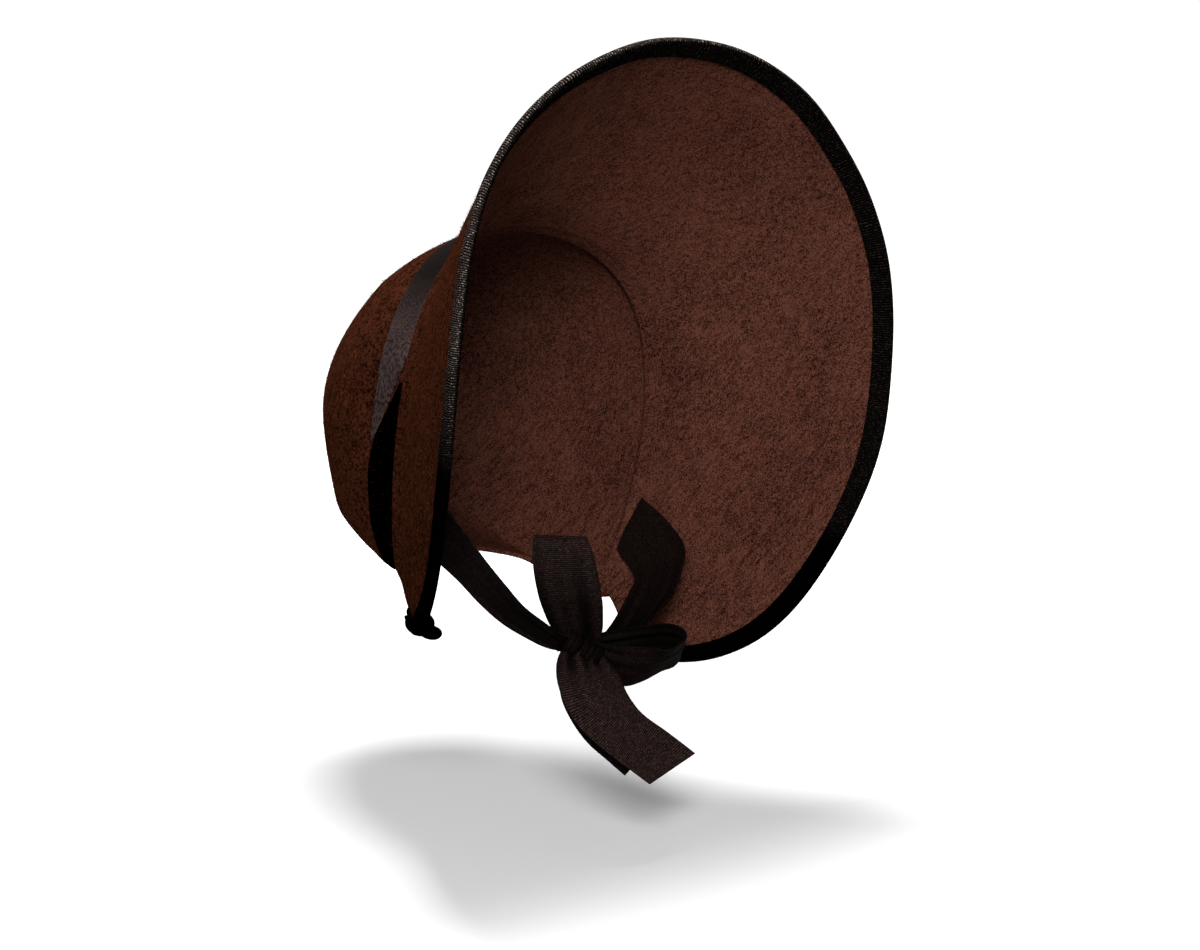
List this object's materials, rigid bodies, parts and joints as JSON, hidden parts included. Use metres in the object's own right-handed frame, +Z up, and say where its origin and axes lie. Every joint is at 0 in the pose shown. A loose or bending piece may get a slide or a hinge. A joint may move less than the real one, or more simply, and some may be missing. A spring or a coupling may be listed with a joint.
{
  "type": "poke bonnet",
  "caption": "Felt poke bonnet: rounded crown, deep flaring bound brim, satin hatband and a chin ribbon tied in a bow, held up as worn.",
  "frame": {"origin": "where the top of the wearer's head meets the inside of the crown, on the bonnet's middle plane", "axes": "+Z up, -Y the way the wearer faces and the brim opens, +X the wearer's left"},
  "size_m": [0.3066, 0.2815, 0.392],
  "materials": {
    "wool_felt": "napped brown wool felt with rust and black fibres",
    "edge_binding": "black ribbed bias strip",
    "satin_ribbon": "dark grey satin",
    "tab_ribbon": "matt black ribbon",
    "tie_ribbon": "near-black brown ribbed ribbon"
  },
  "bodies": {
    "root": {"crown": "wool_felt", "brim": "wool_felt", "brim_binding": "edge_binding", "hatband": "satin_ribbon", "side_tab_right": "tab_ribbon", "side_tab_left": "tab_ribbon", "tie_right": "tie_ribbon", "tie_left": "tie_ribbon", "bow_knot": "tie_ribbon", "bow_loop_upper": "tie_ribbon", "bow_loop_side": "tie_ribbon", "bow_tail_front": "tie_ribbon", "bow_tail_back": "tie_ribbon"}
  },
  "joints": []
}
